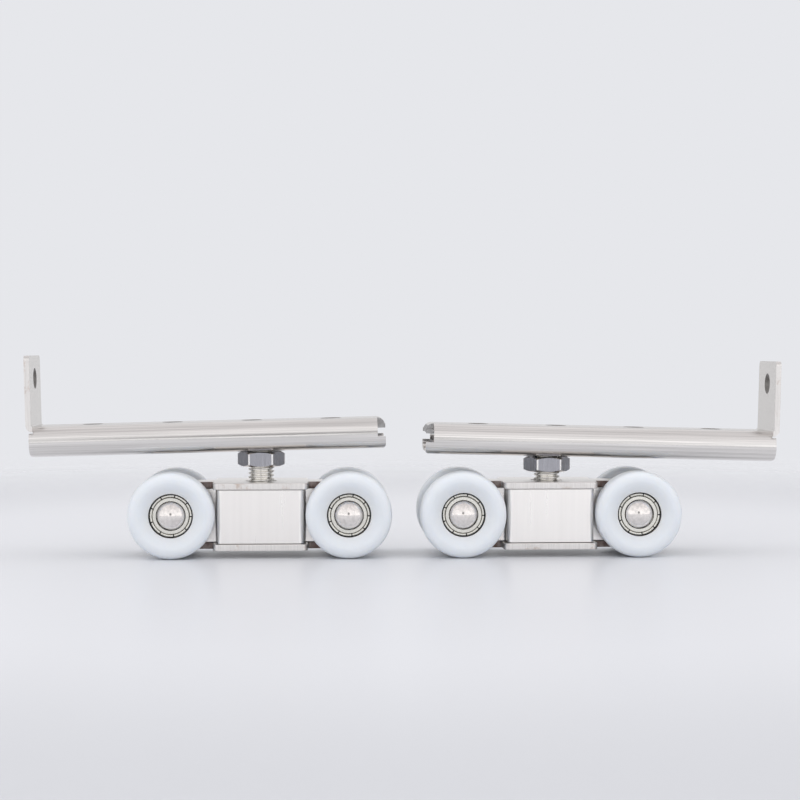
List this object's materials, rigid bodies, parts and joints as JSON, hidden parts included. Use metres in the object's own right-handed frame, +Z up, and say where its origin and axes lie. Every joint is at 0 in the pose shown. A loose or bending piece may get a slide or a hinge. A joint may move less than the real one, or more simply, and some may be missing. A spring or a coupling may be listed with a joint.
{
  "type": "sliding door hanger pair",
  "caption": "Pair of mirrored sliding door hangers: four-wheel carriages with swivelling bolts that carry slotted channel brackets with upturned tabs.",
  "frame": {"origin": "on the floor that the wheels stand on, midway between the two hangers and between the front and rear wheels", "axes": "+X along the pair towards the right hanger's tab, +Y from the front wheels to the rear wheels, +Z up, from the wheels to the brackets"},
  "size_m": [0.289, 0.038, 0.0772],
  "materials": {
    "bracket_steel": "satin stainless sheet, brushed along its length",
    "carriage_steel": "bright stainless sheet with sheared edges",
    "bolt_steel": "bright rolled thread",
    "nut_steel": "machined, darker flats",
    "hub_steel": "turned",
    "washer_bronze": "turned bronze",
    "axle_steel": "polished domed heads",
    "race_steel": "ground and pressed bearing steel",
    "ball_steel": "polished balls in a pressed cage",
    "nylon": "translucent white nylon, satin"
  },
  "bodies": {
    "left_carriage": {"left_top_plate": "carriage_steel", "left_bottom_plate": "carriage_steel", "left_front_wall": "carriage_steel", "left_rear_wall": "carriage_steel", "left_tab_axle": "axle_steel", "left_open_axle": "axle_steel", "left_spacer_bushes": "axle_steel", "left_thrust_washer": "washer_bronze", "left_front_tab_bearing_core": "race_steel", "left_front_open_bearing_core": "race_steel", "left_rear_tab_bearing_core": "race_steel", "left_rear_open_bearing_core": "race_steel"},
    "left_swivel": {"left_swivel_nut": "hub_steel"},
    "left_bolt": {"left_hanger_bolt": "bolt_steel"},
    "left_nut": {"left_lock_nut": "nut_steel"},
    "left_door_bracket": {"left_bracket": "bracket_steel"},
    "left_front_tab_roller": {"left_front_tab_wheel": "nylon", "left_front_tab_bearing_shell": "race_steel"},
    "left_front_tab_ball_set": {"left_front_tab_bearing_balls": "ball_steel"},
    "left_front_open_roller": {"left_front_open_wheel": "nylon", "left_front_open_bearing_shell": "race_steel"},
    "left_front_open_ball_set": {"left_front_open_bearing_balls": "ball_steel"},
    "left_rear_tab_roller": {"left_rear_tab_wheel": "nylon", "left_rear_tab_bearing_shell": "race_steel"},
    "left_rear_tab_ball_set": {"left_rear_tab_bearing_balls": "ball_steel"},
    "left_rear_open_roller": {"left_rear_open_wheel": "nylon", "left_rear_open_bearing_shell": "race_steel"},
    "left_rear_open_ball_set": {"left_rear_open_bearing_balls": "ball_steel"},
    "right_carriage": {"right_top_plate": "carriage_steel", "right_bottom_plate": "carriage_steel", "right_front_wall": "carriage_steel", "right_rear_wall": "carriage_steel", "right_tab_axle": "axle_steel", "right_open_axle": "axle_steel", "right_spacer_bushes": "axle_steel", "right_thrust_washer": "washer_bronze", "right_front_tab_bearing_core": "race_steel", "right_front_open_bearing_core": "race_steel", "right_rear_tab_bearing_core": "race_steel", "right_rear_open_bearing_core": "race_steel"},
    "right_swivel": {"right_swivel_nut": "hub_steel"},
    "right_bolt": {"right_hanger_bolt": "bolt_steel"},
    "right_nut": {"right_lock_nut": "nut_steel"},
    "right_door_bracket": {"right_bracket": "bracket_steel"},
    "right_front_tab_roller": {"right_front_tab_wheel": "nylon", "right_front_tab_bearing_shell": "race_steel"},
    "right_front_tab_ball_set": {"right_front_tab_bearing_balls": "ball_steel"},
    "right_front_open_roller": {"right_front_open_wheel": "nylon", "right_front_open_bearing_shell": "race_steel"},
    "right_front_open_ball_set": {"right_front_open_bearing_balls": "ball_steel"},
    "right_rear_tab_roller": {"right_rear_tab_wheel": "nylon", "right_rear_tab_bearing_shell": "race_steel"},
    "right_rear_tab_ball_set": {"right_rear_tab_bearing_balls": "ball_steel"},
    "right_rear_open_roller": {"right_rear_open_wheel": "nylon", "right_rear_open_bearing_shell": "race_steel"},
    "right_rear_open_ball_set": {"right_rear_open_bearing_balls": "ball_steel"}
  },
  "joints": [
    {"name": "left_bolt_swivel", "type": "hinge", "parent": "left_carriage", "child": "left_swivel", "pos_m": [-0.0555, 0, 0.015], "axis": [0, 0, 1], "range_deg": [-120, 120]},
    {"name": "left_bolt_height", "type": "slide", "parent": "left_swivel", "child": "left_bolt", "axis": [0, 0, 1], "range_m": [-0.0047, 0.0028]},
    {"name": "left_lock_nut_turn", "type": "hinge", "parent": "left_bolt", "child": "left_nut", "pos_m": [-0.0555, 0, 0.03658], "axis": [0, 0, 1], "continuous": true},
    {"name": "left_bracket_slide", "type": "slide", "parent": "left_bolt", "child": "left_door_bracket", "axis": [-0.9997, 0, -0.0244], "range_m": [-0.006, 0.034]},
    {"name": "left_front_tab_wheel_spin", "type": "hinge", "parent": "left_carriage", "child": "left_front_tab_roller", "pos_m": [-0.0892, -0.013, 0.0165], "axis": [0, 1, 0], "continuous": true},
    {"name": "left_front_tab_balls_spin", "type": "hinge", "parent": "left_carriage", "child": "left_front_tab_ball_set", "pos_m": [-0.0892, -0.013, 0.0165], "axis": [0, 1, 0], "continuous": true},
    {"name": "left_front_open_wheel_spin", "type": "hinge", "parent": "left_carriage", "child": "left_front_open_roller", "pos_m": [-0.0218, -0.013, 0.0165], "axis": [0, 1, 0], "continuous": true},
    {"name": "left_front_open_balls_spin", "type": "hinge", "parent": "left_carriage", "child": "left_front_open_ball_set", "pos_m": [-0.0218, -0.013, 0.0165], "axis": [0, 1, 0], "continuous": true},
    {"name": "left_rear_tab_wheel_spin", "type": "hinge", "parent": "left_carriage", "child": "left_rear_tab_roller", "pos_m": [-0.0892, 0.013, 0.0165], "axis": [0, 1, 0], "continuous": true},
    {"name": "left_rear_tab_balls_spin", "type": "hinge", "parent": "left_carriage", "child": "left_rear_tab_ball_set", "pos_m": [-0.0892, 0.013, 0.0165], "axis": [0, 1, 0], "continuous": true},
    {"name": "left_rear_open_wheel_spin", "type": "hinge", "parent": "left_carriage", "child": "left_rear_open_roller", "pos_m": [-0.0218, 0.013, 0.0165], "axis": [0, 1, 0], "continuous": true},
    {"name": "left_rear_open_balls_spin", "type": "hinge", "parent": "left_carriage", "child": "left_rear_open_ball_set", "pos_m": [-0.0218, 0.013, 0.0165], "axis": [0, 1, 0], "continuous": true},
    {"name": "hanger_spacing", "type": "slide", "parent": "left_carriage", "child": "right_carriage", "axis": [1, 0, 0], "range_m": [0, 0.15]},
    {"name": "right_bolt_swivel", "type": "hinge", "parent": "right_carriage", "child": "right_swivel", "pos_m": [0.0555, 0, 0.015], "axis": [0, 0, 1], "range_deg": [-120, 120]},
    {"name": "right_bolt_height", "type": "slide", "parent": "right_swivel", "child": "right_bolt", "axis": [0, 0, 1], "range_m": [-0.002, 0.0055]},
    {"name": "right_lock_nut_turn", "type": "hinge", "parent": "right_bolt", "child": "right_nut", "pos_m": [0.0555, 0, 0.03428], "axis": [0, 0, 1], "continuous": true},
    {"name": "right_bracket_slide", "type": "slide", "parent": "right_bolt", "child": "right_door_bracket", "axis": [0.9997, 0, -0.0244], "range_m": [-0.006, 0.034]},
    {"name": "right_front_tab_wheel_spin", "type": "hinge", "parent": "right_carriage", "child": "right_front_tab_roller", "pos_m": [0.0892, -0.013, 0.0165], "axis": [0, 1, 0], "continuous": true},
    {"name": "right_front_tab_balls_spin", "type": "hinge", "parent": "right_carriage", "child": "right_front_tab_ball_set", "pos_m": [0.0892, -0.013, 0.0165], "axis": [0, 1, 0], "continuous": true},
    {"name": "right_front_open_wheel_spin", "type": "hinge", "parent": "right_carriage", "child": "right_front_open_roller", "pos_m": [0.0218, -0.013, 0.0165], "axis": [0, 1, 0], "continuous": true},
    {"name": "right_front_open_balls_spin", "type": "hinge", "parent": "right_carriage", "child": "right_front_open_ball_set", "pos_m": [0.0218, -0.013, 0.0165], "axis": [0, 1, 0], "continuous": true},
    {"name": "right_rear_tab_wheel_spin", "type": "hinge", "parent": "right_carriage", "child": "right_rear_tab_roller", "pos_m": [0.0892, 0.013, 0.0165], "axis": [0, 1, 0], "continuous": true},
    {"name": "right_rear_tab_balls_spin", "type": "hinge", "parent": "right_carriage", "child": "right_rear_tab_ball_set", "pos_m": [0.0892, 0.013, 0.0165], "axis": [0, 1, 0], "continuous": true},
    {"name": "right_rear_open_wheel_spin", "type": "hinge", "parent": "right_carriage", "child": "right_rear_open_roller", "pos_m": [0.0218, 0.013, 0.0165], "axis": [0, 1, 0], "continuous": true},
    {"name": "right_rear_open_balls_spin", "type": "hinge", "parent": "right_carriage", "child": "right_rear_open_ball_set", "pos_m": [0.0218, 0.013, 0.0165], "axis": [0, 1, 0], "continuous": true}
  ],
  "couplings": [
    {"joint": "left_front_tab_balls_spin", "follows": "left_front_tab_wheel_spin", "ratio": 0.6384},
    {"joint": "left_front_open_balls_spin", "follows": "left_front_open_wheel_spin", "ratio": 0.6384},
    {"joint": "left_rear_tab_balls_spin", "follows": "left_rear_tab_wheel_spin", "ratio": 0.6384},
    {"joint": "left_rear_open_balls_spin", "follows": "left_rear_open_wheel_spin", "ratio": 0.6384},
    {"joint": "right_front_tab_balls_spin", "follows": "right_front_tab_wheel_spin", "ratio": 0.6384},
    {"joint": "right_front_open_balls_spin", "follows": "right_front_open_wheel_spin", "ratio": 0.6384},
    {"joint": "right_rear_tab_balls_spin", "follows": "right_rear_tab_wheel_spin", "ratio": 0.6384},
    {"joint": "right_rear_open_balls_spin", "follows": "right_rear_open_wheel_spin", "ratio": 0.6384}
  ]
}
